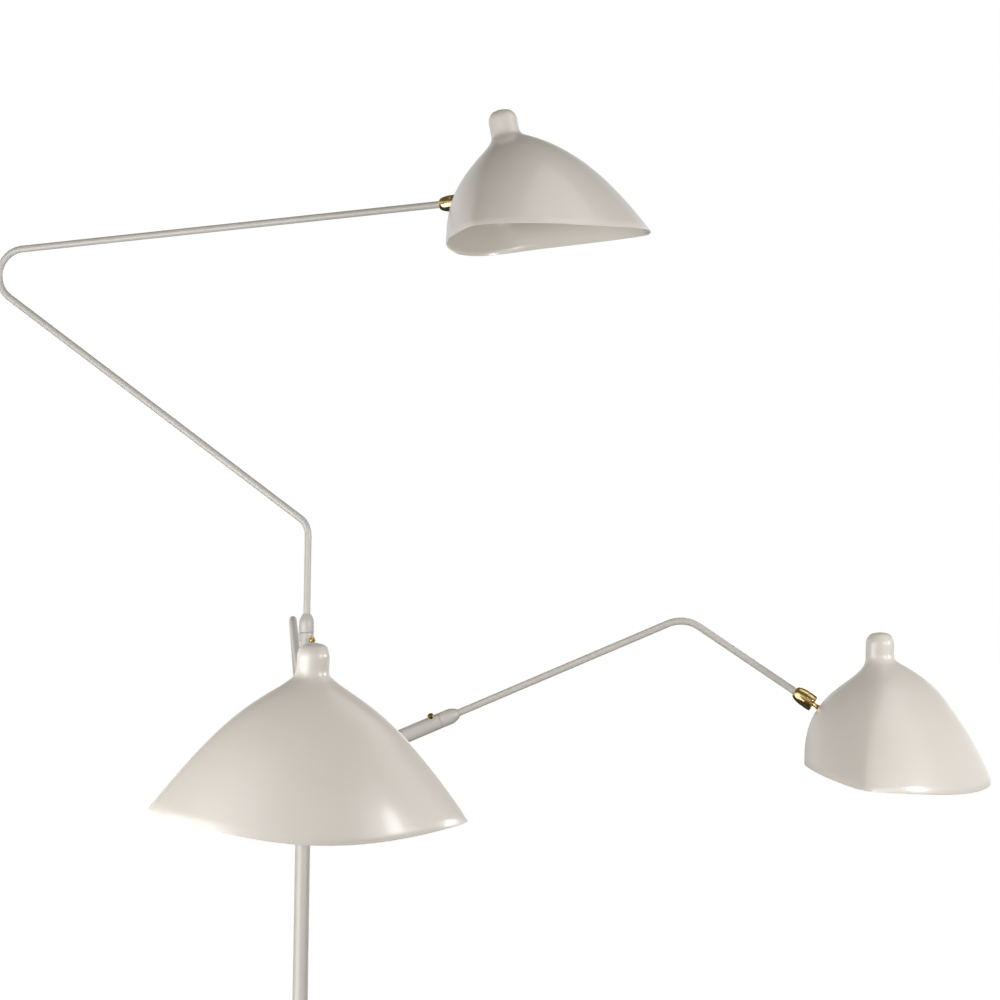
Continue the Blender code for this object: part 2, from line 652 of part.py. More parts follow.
def make_head(arm, arm_frame, corners):
    """Swivel and shade at an arm's end; the shade's pose sets the swivel's angles."""
    bpy.context.view_layer.update()
    ball = arm_frame.matrix_world @ corners[-1]
    spin = arm_frame.matrix_world.to_3x3()
    barrel_axis = spin @ (corners[-1] - corners[-2]).normalized()
    heading, pitch, bank = (math.radians(value) for value in POSES[arm])
    attitude = (Matrix.Rotation(heading, 3, "Z") @ Matrix.Rotation(pitch, 3, "Y")
                @ Matrix.Rotation(bank, 3, "X"))
    seat, normal = stud_seat()
    stud_axis = attitude @ -normal
    barrel_world = frame_matrix(ball, barrel_axis, stud_axis)
    barrel = frame_at(f"{arm}_barrel_axis", arm_frame,
                      arm_frame.matrix_world.inverted() @ barrel_world)
    tilt = barrel_axis.angle(stud_axis)
    stud = frame_at(f"{arm}_ball_axis", barrel, Matrix.Rotation(tilt, 4, "Y"))
    stud_world = barrel_world @ Matrix.Rotation(tilt, 4, "Y")
    seat_world = ball + stud_axis * STUD_LENGTH
    shade_world = attitude.to_4x4()
    shade_world.translation = seat_world - attitude @ seat
    make_barrel(arm, barrel)
    make_stud(arm, stud)
    make_shade(arm, stud, stud_world.inverted() @ shade_world)


# ---------------------------------------------------------------- the lamp
clear_scene()
PARTS = new_collection("adjustable_arm_floor_lamp")
CUTTERS = new_collection("cutters")
STAND = frame_at("stand", None, Matrix())

make_hub()
mast_tube = make_mast()
right_sleeve, right_frame = make_sleeve("right", mast_tube)
front_sleeve, front_frame = make_sleeve("front", mast_tube, right_frame)
clamp_screw("upper_clamp_screw", mast_tube, STAND, MAST_TOP, math.radians(-49.0))
clamp_screw("right_clamp_screw", right_sleeve, right_frame, SLEEVE_LENGTH, math.radians(218.0))
clamp_screw("front_clamp_screw", front_sleeve, front_frame, SLEEVE_LENGTH, math.radians(142.0))

ARMS = (
    ("upper", STAND, Matrix.Translation((0.0, 0.0, MAST_TOP)) @ turn_z(UPPER_YAW),
     upper_corners(), (UPPER_FIRST_BEND, UPPER_BACK_BEND)),
    ("right", right_frame, Matrix.Translation((0.0, 0.0, SLEEVE_LENGTH)), side_corners(),
     (SIDE_BEND,)),
    ("front", front_frame, Matrix.Translation((0.0, 0.0, SLEEVE_LENGTH)), side_corners(),
     (SIDE_BEND,)),
)
for arm_name, sleeve_parent, mouth_matrix, arm_corners, bends in ARMS:
    axis_frame = frame_at(f"{arm_name}_arm_axis", sleeve_parent,
                          mouth_matrix @ turn_z(ARM_ROLL[arm_name]))
    make_bush(arm_name, axis_frame)
    make_arm(arm_name, axis_frame, arm_corners, bends)
    make_head(arm_name, axis_frame, arm_corners)
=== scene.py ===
import json
import math

import bmesh
import bpy
from mathutils import Matrix, Vector


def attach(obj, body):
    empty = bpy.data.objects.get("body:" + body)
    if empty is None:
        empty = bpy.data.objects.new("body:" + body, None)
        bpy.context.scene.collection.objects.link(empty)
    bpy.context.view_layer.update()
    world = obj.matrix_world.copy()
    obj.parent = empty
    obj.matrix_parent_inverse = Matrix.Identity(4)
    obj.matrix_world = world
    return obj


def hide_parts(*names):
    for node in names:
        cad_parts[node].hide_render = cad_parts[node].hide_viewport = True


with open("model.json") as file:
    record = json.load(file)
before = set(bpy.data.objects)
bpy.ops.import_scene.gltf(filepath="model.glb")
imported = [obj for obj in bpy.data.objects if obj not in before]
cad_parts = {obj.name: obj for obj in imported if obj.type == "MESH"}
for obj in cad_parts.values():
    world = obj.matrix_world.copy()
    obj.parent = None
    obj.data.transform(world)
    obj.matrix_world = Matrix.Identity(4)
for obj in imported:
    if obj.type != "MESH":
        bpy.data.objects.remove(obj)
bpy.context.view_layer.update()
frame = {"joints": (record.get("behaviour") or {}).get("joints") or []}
JOINTS = {joint["name"]: joint for joint in frame["joints"]}
ARMS = ("upper", "right", "front")
UP = Vector((0.0, 0.0, 1.0))

# ---------------------------------------------------------------- dimensions, in metres
MAST_RADIUS = 0.0110            # of the mast and of both side sleeves
TUBE_WALL = 0.0015              # of the mast and of both side sleeves
MAST_TOP = 1.3674
BRANCH_HEIGHT = 1.1596          # where the side sleeves' axes cross the mast's
SLEEVE_LENGTH = 0.2143
SIDE_CORNER = 0.5903            # from the mast's axis to a side arm's bend, along the sleeve
SIDE_BEND = 0.0470
UPPER_FIRST_RISE = 0.1547       # from the mast's mouth to the upper arm's first bend
UPPER_SLOPE = math.radians(34.84)
UPPER_BACK_REACH = 0.5664       # how far the upper arm runs back before it turns
UPPER_FIRST_BEND = 0.0300
UPPER_BACK_BEND = 0.0390
ARM_RADIUS = 0.0050
BUSH_COLLAR = 0.0125
BUSH_LENGTH = 0.0268
HUB_RADIUS = 0.060
HUB_BOTTOM = 0.010
HUB_TOP = 0.085
LEG_RADIUS = 0.008
LEG_REACH = 0.300
LEG_FIRST_YAW = math.radians(-38.0)
BALL_RADIUS = 0.0073
BARREL_RADIUS = 0.0118
BARREL_BACK = 0.0250
BARREL_FRONT = 0.0067
BARREL_NOSE = 0.0200            # length of the barrel's rounded nose
STUD_LENGTH = 0.0210            # from the ball's centre to the shade's sheet
SLOT_WIDTH = 0.0074
SHEET = 0.0010
NECK_WIDTH = 0.0202
CAP_HEIGHT = 0.0388
CAP_ROUND = 0.0160
FRONT_REACH = 0.1538            # from the neck's axis to the rim's front edge
FRONT_RADIUS = 0.2669           # of the front edge's arc, seen from above
BACK_REACH = 0.0987             # from the neck's axis to the rim's back edge
BACK_OVAL_SHIFT = 0.4596
BACK_OVAL_WIDTH = 0.2690
CORNER_SHARPNESS = 30.0         # of the rim where its two edges meet
CREASE_SHARPNESS = 4.0          # of the sheet well above that corner
CREASE_FADE = 4.5               # how fast the corner dies away up the sheet
RIM_LEVEL = (-0.1529, -0.0120, -0.0053, 0.0003)     # cosine series in the plan angle
NECK_SLOPE = (56.5, -38.4, 7.9)                     # the same, in degrees
RIM_SLOPE = (76.7, -15.4, 9.3)                      # the same, in degrees
NECK_PULL = 0.183
RIM_PULL = 0.620
MOUNT_LEVEL = 0.701             # how far down the back's meridian the stud sits
HOLDER_RADIUS = 0.0170
BULB_CAP_RADIUS = 0.0132
BULB_RADIUS = 0.0225
BULB_LENGTH = 0.0650
POSES = {                       # heading, pitch and bank of each shade, in degrees
    "upper": (-40.4, -11.4, 3.4),
    "right": (-31.6, 2.8, 5.2),
    "front": (-82.9, 10.2, -1.5),
}


# ---------------------------------------------------------------- materials
def new_material(name, roughness, metallic=0.0, **constants):
    """Material with one Principled shader; constants go straight onto its sockets."""
    material = bpy.data.materials.new(name)
    material.use_nodes = True
    tree = material.node_tree
    shader = tree.nodes["Principled BSDF"]
    shader.inputs["Roughness"].default_value = roughness
    shader.inputs["Metallic"].default_value = metallic
    for socket, value in constants.items():
        shader.inputs[socket.replace("_", " ")].default_value = value
    return material, tree, shader


def noise_of(tree, scale, detail=3.0, rough=0.55, stretch=None):
    """Noise texture in the piece's own coordinates."""
    coordinates = tree.nodes.new("ShaderNodeTexCoord")
    noise = tree.nodes.new("ShaderNodeTexNoise")
    noise.inputs["Scale"].default_value = scale
    noise.inputs["Detail"].default_value = detail
    noise.inputs["Roughness"].default_value = rough
    source = coordinates.outputs["Object"]
    if stretch is not None:
        mapping = tree.nodes.new("ShaderNodeMapping")
        mapping.inputs["Scale"].default_value = stretch
        tree.links.new(source, mapping.inputs["Vector"])
        source = mapping.outputs["Vector"]
    tree.links.new(source, noise.inputs["Vector"])
    return noise.outputs["Fac"]


def ramp(tree, value, stops):
    """Colour ramp from (position, colour) stops."""
    node = tree.nodes.new("ShaderNodeValToRGB")
    elements = node.color_ramp.elements
    elements[0].position, elements[0].color = stops[0][0], (*stops[0][1], 1.0)
    elements[1].position, elements[1].color = stops[-1][0], (*stops[-1][1], 1.0)
    for position, colour in stops[1:-1]:
        elements.new(position).color = (*colour, 1.0)
    tree.links.new(value, node.inputs["Fac"])
    return node.outputs["Color"]


def spread(tree, value, low, high, start=0.3, end=0.7):
    """Map a texture value onto a range."""
    node = tree.nodes.new("ShaderNodeMapRange")
    node.inputs["From Min"].default_value = start
    node.inputs["From Max"].default_value = end
    node.inputs["To Min"].default_value = low
    node.inputs["To Max"].default_value = high
    tree.links.new(value, node.inputs["Value"])
    return node.outputs["Result"]


def bump(tree, shader, layers):
    """Chain bumps of (texture value, strength, height in metres) into the normal."""
    normal = None
    for value, strength, height in layers:
        node = tree.nodes.new("ShaderNodeBump")
        node.inputs["Strength"].default_value = strength
        node.inputs["Distance"].default_value = height
        tree.links.new(value, node.inputs["Height"])
        if normal is not None:
            tree.links.new(normal, node.inputs["Normal"])
        normal = node.outputs["Normal"]
    tree.links.new(normal, shader.inputs["Normal"])


def waves_of(tree, scale, direction="Z", distortion=0.0, kind="BANDS"):
    """Wave texture in the piece's own coordinates."""
    coordinates = tree.nodes.new("ShaderNodeTexCoord")
    wave = tree.nodes.new("ShaderNodeTexWave")
    wave.wave_type = kind
    if kind == "BANDS":
        wave.bands_direction = direction
    else:
        wave.rings_direction = direction
    wave.inputs["Scale"].default_value = scale
    wave.inputs["Distortion"].default_value = distortion
    tree.links.new(coordinates.outputs["Object"], wave.inputs["Vector"])
    return wave.outputs["Fac"]


def enamel(name, light, dark, low, high, grain=560.0, grain_height=0.00003, coat=0.42):
    """Sprayed warm white enamel: faint drifts of tint, uneven gloss and orange peel."""
    material, tree, shader = new_material(name, 0.3, Specular_IOR_Level=0.5, Coat_Weight=coat,
                                          Coat_Roughness=0.13)
    drift = noise_of(tree, 7.0, 2.0)
    middle = tuple((a + b) / 2 for a, b in zip(light, dark))
    tree.links.new(ramp(tree, drift, [(0.1, dark), (0.5, middle), (0.9, light)]),
                   shader.inputs["Base Color"])
    tree.links.new(spread(tree, noise_of(tree, 34.0, 3.0), low, high, 0.05, 0.95),
                   shader.inputs["Roughness"])
    bump(tree, shader, [(noise_of(tree, grain, 2.0), 0.3, grain_height)])
    return material


def brass(name, lines=True):
    """Polished and lacquered brass with fine turning marks and a thin uneven patina."""
    material, tree, shader = new_material(name, 0.2, 1.0, Coat_Weight=0.3, Coat_Roughness=0.08)
    patina = noise_of(tree, 150.0, 3.0, 0.5)
    tree.links.new(ramp(tree, patina, [(0.25, (0.52, 0.35, 0.13)), (0.5, (0.70, 0.51, 0.22)),
                                       (0.75, (0.80, 0.61, 0.29))]), shader.inputs["Base Color"])
    tree.links.new(spread(tree, noise_of(tree, 420.0, 3.0), 0.09, 0.20, 0.1, 0.9),
                   shader.inputs["Roughness"])
    layers = [(noise_of(tree, 1500.0, 2.0), 0.10, 0.00001)]
    if lines:
        layers.append((waves_of(tree, 1400.0, "Z", 0.6), 0.12, 0.00001))
    bump(tree, shader, layers)
    return material


def moulded(name, light, dark, roughness, scale=120.0, grain=1600.0, height=0.00005, **constants):
    """Moulded rubber, plastic or opal glass: mottled tone and fine grain."""
    material, tree, shader = new_material(name, roughness, 0.0, **constants)
    mottle = noise_of(tree, scale, 4.0)
    tree.links.new(ramp(tree, mottle, [(0.35, dark), (0.65, light)]), shader.inputs["Base Color"])
    tree.links.new(spread(tree, noise_of(tree, scale * 2.5, 4.0), roughness * 0.8,
                          min(1.0, roughness * 1.25)), shader.inputs["Roughness"])
    bump(tree, shader, [(noise_of(tree, grain, 3.0), 0.4, height)])
    return material


def braid(name, light, dark):
    """Woven jacket: two crossing sets of fine strands."""
    material, tree, shader = new_material(name, 0.75, 0.0, Sheen_Weight=0.3)
    one = waves_of(tree, 900.0, "X", 2.0)
    other = waves_of(tree, 900.0, "DIAGONAL", 2.0)
    joined = tree.nodes.new("ShaderNodeMath")
    joined.operation = "MULTIPLY"
    tree.links.new(one, joined.inputs[0])
    tree.links.new(other, joined.inputs[1])
    tree.links.new(ramp(tree, joined.outputs[0], [(0.1, dark), (0.6, light)]),
                   shader.inputs["Base Color"])
    bump(tree, shader, [(joined.outputs[0], 0.6, 0.0002)])
    return material


STUDIO_GLOW = (0.22, 0.200, 0.175)
WHITE = (0.70, 0.665, 0.62)
WHITE_SHADE = (0.66, 0.62, 0.57)
TUBE_WHITE = (0.550, 0.536, 0.503)
TUBE_SHADE = (0.525, 0.511, 0.478)
MATERIALS = {
    "tube_paint": enamel("tube_enamel", TUBE_WHITE, TUBE_SHADE, 0.30, 0.42,
                         90.0, 0.00002, 0.18),
    "shade_paint": enamel("shade_enamel", WHITE, WHITE_SHADE, 0.26, 0.36),
    "leg_paint": enamel("leg_enamel", WHITE, WHITE_SHADE, 0.30, 0.44, 420.0, 0.0001),
    "stand_steel": enamel("hub_enamel", WHITE, WHITE_SHADE, 0.40, 0.58, 380.0, 0.00025),
    "brass": brass("turned_brass"),
    "flat_brass": brass("stamped_brass", lines=False),
    "rubber": moulded("pad_rubber", (0.035, 0.034, 0.033), (0.018, 0.018, 0.018), 0.75),
    "bulb_diffuser": moulded("opal_bulb", (0.93, 0.91, 0.86), (0.88, 0.86, 0.80), 0.22, 40.0, 900.0,
                             0.00002, Coat_Weight=0.4, Coat_Roughness=0.05,
                             Subsurface_Weight=0.2, Subsurface_Scale=0.004),
    "holder_plastic": moulded("holder_thermoset", (0.80, 0.77, 0.71), (0.74, 0.71, 0.65), 0.42,
                              90.0, 1400.0, 0.00004),
    "wire_jacket": braid("woven_jacket", (0.62, 0.59, 0.53), (0.40, 0.37, 0.32)),
}
PAINTS = ("tube_paint", "shade_paint", "leg_paint", "stand_steel")


# ---------------------------------------------------------------- mesh building
def piece_of(name, mesh, body, finish, matrix=None, nodes=(), sharp=38.0):
    """Make a mesh a piece on a body, standing for CAD nodes and taking a finish's material.

    Painted meshes are placed in the shared frame itself, which keeps their boxes tight.
    """
    piece = bpy.data.objects.new(name, mesh)
    bpy.context.scene.collection.objects.link(piece)
    if finish in PAINTS:
        mesh.transform(matrix or Matrix())
    else:
        piece.matrix_world = matrix or Matrix()
    mesh.shade_smooth()
    mesh.set_sharp_from_angle(angle=math.radians(sharp))
    mesh.materials.append(MATERIALS[finish])
    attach(piece, body)
    if nodes:
        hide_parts(*nodes)
    return piece


def mesh_from(name, build):
    """Mesh from a bmesh filled by a function, with its faces turned outward."""
    shape = bmesh.new()
    build(shape)
    bmesh.ops.recalc_face_normals(shape, faces=shape.faces)
    mesh = bpy.data.meshes.new(name)
    shape.to_mesh(mesh)
    shape.free()
    return mesh


def rounded(profile, radius, steps=3):
    """Round the corners of a (radius, height) profile; points on the axis stay."""
    count = len(profile)
    closed = profile[0][0] > 1e-9
    result = []
    for index, point in enumerate(profile):
        here = Vector(point)
        if not closed and index in (0, count - 1):
            result.append(tuple(here))
            continue
        before = Vector(profile[index - 1]) - here
        after = Vector(profile[(index + 1) % count]) - here
        if before.angle(after) > math.radians(172):
            result.append(tuple(here))
            continue
        reach = min(radius, before.length * 0.45, after.length * 0.45)
        start = here + before.normalized() * reach
        end = here + after.normalized() * reach
        for step in range(steps + 1):
            t = step / steps
            point = start * (1 - t) ** 2 + here * 2 * t * (1 - t) + end * t * t
            result.append((max(point.x, 0.0), point.y))
    return result


def lathe_mesh(name, profile, steps=48):
    """Closed turned solid from a (radius, height) profile."""
    def build(shape):
        rings = []
        for radius, height in profile:
            if radius < 1e-9:
                rings.append([shape.verts.new((0.0, 0.0, height))])
                continue
            rings.append([shape.verts.new((radius * math.cos(math.tau * k / steps),
                                           radius * math.sin(math.tau * k / steps), height))
                          for k in range(steps)])
        pairs = list(zip(rings, rings[1:]))
        if profile[0][0] > 1e-9:
            pairs.append((rings[-1], rings[0]))
        for one, other in pairs:
            for k in range(steps):
                following = (k + 1) % steps
                corners = [one[k % len(one)], one[following % len(one)],
                           other[following % len(other)], other[k % len(other)]]
                unique = list(dict.fromkeys(corners))
                if len(unique) > 2:
                    shape.faces.new(unique)
    return mesh_from(name, build)


def sweep_mesh(name, points, radius, sides=24, closed=False):
    """Round rod along points, with flat ends or joined into a loop."""
    points = [Vector(point) for point in points]
    count = len(points)

    def tangent(index):
        if closed:
            return (points[(index + 1) % count] - points[index - 1]).normalized()
        return (points[min(index + 1, count - 1)] - points[max(index - 1, 0)]).normalized()

    def build(shape):
        side = tangent(0).orthogonal().normalized()
        rings = []
        for index, point in enumerate(points):
            ahead = tangent(index)
            side = (side - ahead * side.dot(ahead)).normalized()
            across = ahead.cross(side)
            ring = []
            for k in range(sides):
                turn = math.tau * k / sides
                ring.append(shape.verts.new(point + radius * (side * math.cos(turn)
                                                              + across * math.sin(turn))))
            rings.append(ring)
        pairs = list(zip(rings, rings[1:]))
        if closed:
            pairs.append((rings[-1], rings[0]))
        for one, other in pairs:
            for k in range(sides):
                following = (k + 1) % sides
                shape.faces.new((one[k], one[following], other[following], other[k]))
        if not closed:
            shape.faces.new(rings[0])
            shape.faces.new(rings[-1])
    return mesh_from(name, build)


def bent_line(corners, radii, steps=20):
    """Points of a line through corners, each corner rounded by an arc of its radius."""
    corners = [Vector(corner) for corner in corners]
    points = [corners[0]]
    for index in range(1, len(corners) - 1):
        before = (corners[index - 1] - corners[index]).normalized()
        after = (corners[index + 1] - corners[index]).normalized()
        half = before.angle(after) / 2
        radius = radii[index - 1]
        centre = corners[index] + (before + after).normalized() * radius / math.sin(half)
        start = (before / math.tan(half) * radius + corners[index] - centre).normalized()
        finish = (after / math.tan(half) * radius + corners[index] - centre).normalized()
        for step in range(steps + 1):
            points.append(centre + start.slerp(finish, step / steps) * radius)
    points.append(corners[-1])
    return points


def frame_matrix(origin, z_axis, x_hint):
    """Matrix with its Z along an axis and its X as near as can be to a hint."""
    z_dir = Vector(z_axis).normalized()
    y_dir = z_dir.cross(Vector(x_hint)).normalized()
    x_dir = y_dir.cross(z_dir)
    matrix = Matrix((x_dir, y_dir, z_dir)).transposed().to_4x4()
    matrix.translation = origin
    return matrix


def joint_line(name):
    """Position and direction of a joint."""
    joint = JOINTS[name]
    return Vector(joint["pos_m"]), Vector(joint["axis"]).normalized()


# ---------------------------------------------------------------- shade surface
def wave(coefficients, angle):
    """Cosine series in the plan angle."""
    return sum(value * math.cos(order * angle) for order, value in enumerate(coefficients))


def rim_edges(angle):
    """Distances from the neck's axis to the front edge and to the rounder back edge."""
    cosine = math.cos(angle)
    sine = math.sin(angle)
    centre = FRONT_REACH - FRONT_RADIUS
    inside = max(FRONT_RADIUS ** 2 - (centre * sine) ** 2, 1e-8)
    front = centre * cosine + math.sqrt(inside)
    length = BACK_OVAL_SHIFT + BACK_REACH
    square = (cosine / length) ** 2 + (sine / BACK_OVAL_WIDTH) ** 2
    linear = -2 * BACK_OVAL_SHIFT * cosine / length ** 2
    constant = (BACK_OVAL_SHIFT / length) ** 2 - 1
    back = (-linear + math.sqrt(linear ** 2 - 4 * square * constant)) / (2 * square)
    return front, back


def rim_radius(angle, sharpness=CORNER_SHARPNESS):
    """Distance from the neck's axis to the rim; the two edges meet in a corner."""
    front, back = rim_edges(angle)
    return (front ** -sharpness + back ** -sharpness) ** (-1 / sharpness)


def corner_angle():
    """Plan angle at which the rim's front and back edges meet."""
    low, high = 0.5, 2.0
    for _ in range(40):
        middle = (low + high) / 2
        front, back = rim_edges(middle)
        if front < back:
            low = middle
        else:
            high = middle
    return (low + high) / 2


def meridian(angle):
    """Bezier control points (radius, height) of the outer surface at a plan angle."""
    level = wave(RIM_LEVEL, angle)
    start = Vector((NECK_WIDTH * 1.05, 0.0))
    end = Vector((rim_radius(angle), level))
    rounded_end = Vector((rim_radius(angle, CREASE_SHARPNESS), level))
    length = (rounded_end - start).length
    out = math.radians(wave(NECK_SLOPE, angle))
    down = math.radians(wave(RIM_SLOPE, angle))
    first = start + NECK_PULL * length * Vector((math.cos(out), -math.sin(out)))
    second = rounded_end - RIM_PULL * length * Vector((math.cos(down), -math.sin(down)))
    return start, first, second, rounded_end, end - rounded_end


def along(controls, t):
    """Point of a cubic Bezier; a fifth control is how far its end is pulled out to a corner."""
    a, b, c, d, *corner = controls
    s = 1 - t
    point = a * s ** 3 + b * 3 * s * s * t + c * 3 * s * t * t + d * t ** 3
    return point + corner[0] * t ** CREASE_FADE if corner else point


def shade_column(angle):
    """(radius, height) points from the cap's top ring, through the neck's hollow, to the rim."""
    flat = NECK_WIDTH - CAP_ROUND
    points = []
    for step in range(1, 13):
        turn = math.pi / 2 * step / 12
        points.append(Vector((flat * min(1.0, step / 4) + CAP_ROUND * math.sin(turn),
                              CAP_HEIGHT - CAP_ROUND + CAP_ROUND * math.cos(turn))))
    controls = meridian(angle)
    joins = 0.075
    foot = along(controls, joins)
    slope = (along(controls, joins + 0.002) - foot).normalized()
    top = Vector((NECK_WIDTH, CAP_HEIGHT * 0.33))
    reach = (foot - top).length
    hollow = (top, top + Vector((0.0, -0.52)) * reach, foot - slope * 0.42 * reach, foot)
    points += [along(hollow, step / 9) for step in range(9)]
    rows = 30
    points += [along(controls, joins + (1 - joins) * step / rows) for step in range(rows)]
    points += [along(controls, 0.9985), along(controls, 1.0)]
    return points


def shade_mesh(name):
    """Sheet of real thickness with a rounded rim, its columns closer beside the corners."""
    corner = corner_angle()
    half = [corner * math.sin(math.pi / 2 * step / 26) for step in range(26)]
    for step in range(35):
        share = step / 34
        half.append(corner + (math.pi - corner) * (0.45 * share
                                                   + 0.55 * (1 - math.cos(math.pi / 2 * share))))
    angles = half + [-angle for angle in half[-2:0:-1]]
    columns = [[Vector((p.x * math.cos(a), p.x * math.sin(a), p.y)) for p in shade_column(a)]
               for a in angles]
    ends = [column.pop() for column in columns]
    rows = len(columns[0])
    count = len(columns)

    def build(shape):
        outer = [[shape.verts.new(point) for point in column] for column in columns]
        pole = shape.verts.new((0.0, 0.0, CAP_HEIGHT))
        for index in range(count):
            one, other = outer[index], outer[(index + 1) % count]
            shape.faces.new((pole, one[0], other[0]))
            for row in range(rows - 1):
                shape.faces.new((one[row], one[row + 1], other[row + 1], other[row]))
        shape.normal_update()
        flip = -1.0 if pole.normal.z > 0 else 1.0
        inner = [[shape.verts.new(vert.co + vert.normal * flip * SHEET) for vert in column]
                 for column in outer]
        under = shape.verts.new(pole.co - Vector((0.0, 0.0, SHEET)))
        lips = []
        for out_column, in_column, end in zip(outer, inner, ends):
            lips.append(shape.verts.new(end + (in_column[-1].co - out_column[-1].co) / 2))
        for index in range(count):
            following = (index + 1) % count
            one, other = inner[index], inner[following]
            shape.faces.new((under, other[0], one[0]))
            for row in range(rows - 1):
                shape.faces.new((one[row], other[row], other[row + 1], one[row + 1]))
            shape.faces.new((outer[index][-1], lips[index], lips[following], outer[following][-1]))
            shape.faces.new((lips[index], inner[index][-1], inner[following][-1], lips[following]))
    return mesh_from(name, build)


def stud_seat():
    """Point and outward normal of the shade's back where the stud is fastened."""
    controls = meridian(math.pi)
    point = along(controls, MOUNT_LEVEL)
    slope = (along(controls, MOUNT_LEVEL + 0.001) - point).normalized()
    return Vector((-point.x, 0.0, point.y)), Vector((slope.y, 0.0, slope.x))


# ---------------------------------------------------------------- stand
def make_hub():
    """Hub with rounded shoulders, its underside cover, screws, bolt and gland."""
    bore = MAST_RADIUS + 0.0003
    profile = [(bore, HUB_TOP), (0.0170, HUB_TOP), (0.0185, HUB_TOP - 0.003), (0.0200, 0.060),
               (0.0290, 0.0500), (HUB_RADIUS - 0.005, 0.0425), (HUB_RADIUS, 0.0375),
               (HUB_RADIUS, HUB_BOTTOM), (bore, HUB_BOTTOM)]
    piece_of("hub", lathe_mesh("hub", rounded(profile, 0.006, 5), 96), "stand", "stand_steel",
             nodes=["base_hub"])
    collar = [(bore, HUB_TOP + 0.0026), (0.0142, HUB_TOP + 0.0026), (0.0150, HUB_TOP),
              (bore, HUB_TOP)]
    piece_of("mast_collar", lathe_mesh("mast_collar", rounded(collar, 0.0009), 64), "stand",
             "tube_paint")
    cover = [(0.0, 0.0097), (0.0515, 0.0097), (0.0520, 0.0090), (0.0520, 0.0077), (0.0, 0.0077)]
    piece_of("hub_cover", lathe_mesh("hub_cover", rounded(cover, 0.0006), 64), "stand",
             "stand_steel", nodes=["base_cover"])
    for index in range(3):
        yaw = LEG_FIRST_YAW + math.tau * (index + 0.5) / 3
        seat = Vector((0.042 * math.cos(yaw), 0.042 * math.sin(yaw), 0.0077))
        screw_head(f"cover_screw_{index + 1}", seat, -UP, "stand", 0.0034, 0.0013)
    piece_of("mast_bolt", lathe_mesh("mast_bolt", [(0.0, 0.0215), (0.0158, 0.0215),
                                                   (0.0158, 0.0155), (0.0, 0.0155)], 6),
             "stand", "flat_brass", nodes=["base_bolt"])
    exit_yaw = LEG_FIRST_YAW + math.pi
    outward = Vector((math.cos(exit_yaw), math.sin(exit_yaw), 0.0))
    place = frame_matrix(outward * HUB_RADIUS + UP * (HUB_BOTTOM + 0.0075), outward, UP)
    gland = [(0.0030, 0.0062), (0.0044, 0.0062), (0.0050, 0.0050), (0.0068, 0.0036),
             (0.0068, -0.0006), (0.0030, -0.0006)]
    piece_of("gland", lathe_mesh("gland", rounded(gland, 0.0008), 40), "stand", "rubber", place,
             ["cord_gland"])


def screw_head(name, seat, outward, body, radius, height, nodes=()):
    """Low cap-head screw with a hexagonal recess and a rounded edge."""
    hole = radius * 0.48
    sector = math.tau / 6
    steps = 36
    depth = height * 0.75
    profile = [(radius, 0.0), (radius, height * 0.72), (radius * 0.93, height * 0.93),
               (radius * 0.82, height)]

    def build(shape):
        rings = [[shape.verts.new((r * math.cos(math.tau * k / steps),
                                   r * math.sin(math.tau * k / steps), z)) for k in range(steps)]
                 for r, z in profile]
        for level in (height, height - depth):
            ring = []
            for k in range(steps):
                turn = math.tau * k / steps
                flat = math.cos(sector / 2) / math.cos((turn % sector) - sector / 2)
                ring.append(shape.verts.new((hole * flat * math.cos(turn),
                                             hole * flat * math.sin(turn), level)))
            rings.append(ring)
        for one, other in zip(rings, rings[1:]):
            for k in range(steps):
                following = (k + 1) % steps
                shape.faces.new((one[k], one[following], other[following], other[k]))
        shape.faces.new(rings[0])
        shape.faces.new(rings[-1])
    hint = UP if abs(outward.z) < 0.9 else Vector((1.0, 0.0, 0.0))
    piece_of(name, mesh_from(name, build), body, "brass", frame_matrix(seat, outward, hint),
             nodes, sharp=30.0)


def make_legs():
    """Arched legs with a weld collar at the hub and a moulded pad under each end."""
    for index in range(3):
        yaw = LEG_FIRST_YAW + math.tau * index / 3
        turn = Matrix.Rotation(yaw, 4, "Z")
        points = [(HUB_RADIUS - 0.012, 0.0, 0.026)]
        steps = 26
        for step in range(steps + 1):
            share = step / steps
            points.append((HUB_RADIUS + (LEG_REACH - HUB_RADIUS) * share, 0.0,
                           0.026 + (0.0185 - 0.026) * share + 0.016 * math.sin(math.pi * share)))
        name = f"leg_bar_{index + 1}"
        piece_of(name, sweep_mesh(name, points, LEG_RADIUS, 32), "stand", "leg_paint", turn,
                 [f"leg_{index + 1}"])
        bead = frame_matrix(turn @ Vector((HUB_RADIUS - 0.0006, 0.0, 0.0262)),
                            turn.to_3x3() @ Vector((1.0, 0.0, 0.18)), UP)
        ring = [(LEG_RADIUS + 0.0024, 0.0), (LEG_RADIUS + 0.0012, 0.0016), (LEG_RADIUS, 0.0026),
                (LEG_RADIUS - 0.001, 0.0)]
        name = f"leg_weld_{index + 1}"
        piece_of(name, lathe_mesh(name, rounded(ring, 0.0008), 40), "stand", "leg_paint", bead)
        pad = [(0.0, 0.0092), (0.0118, 0.0092), (0.0138, 0.0070), (0.0140, 0.0046),
               (0.0132, 0.0040), (0.0140, 0.0034), (0.0140, 0.0010), (0.0130, 0.0), (0.0, 0.0)]
        name = f"leg_pad_{index + 1}"
        foot = turn @ Matrix.Translation((LEG_REACH - 0.012, 0.0, 0.0))
        piece_of(name, lathe_mesh(name, rounded(pad, 0.0009), 48), "stand", "rubber", foot,
                 [f"foot_pad_{index + 1}"])


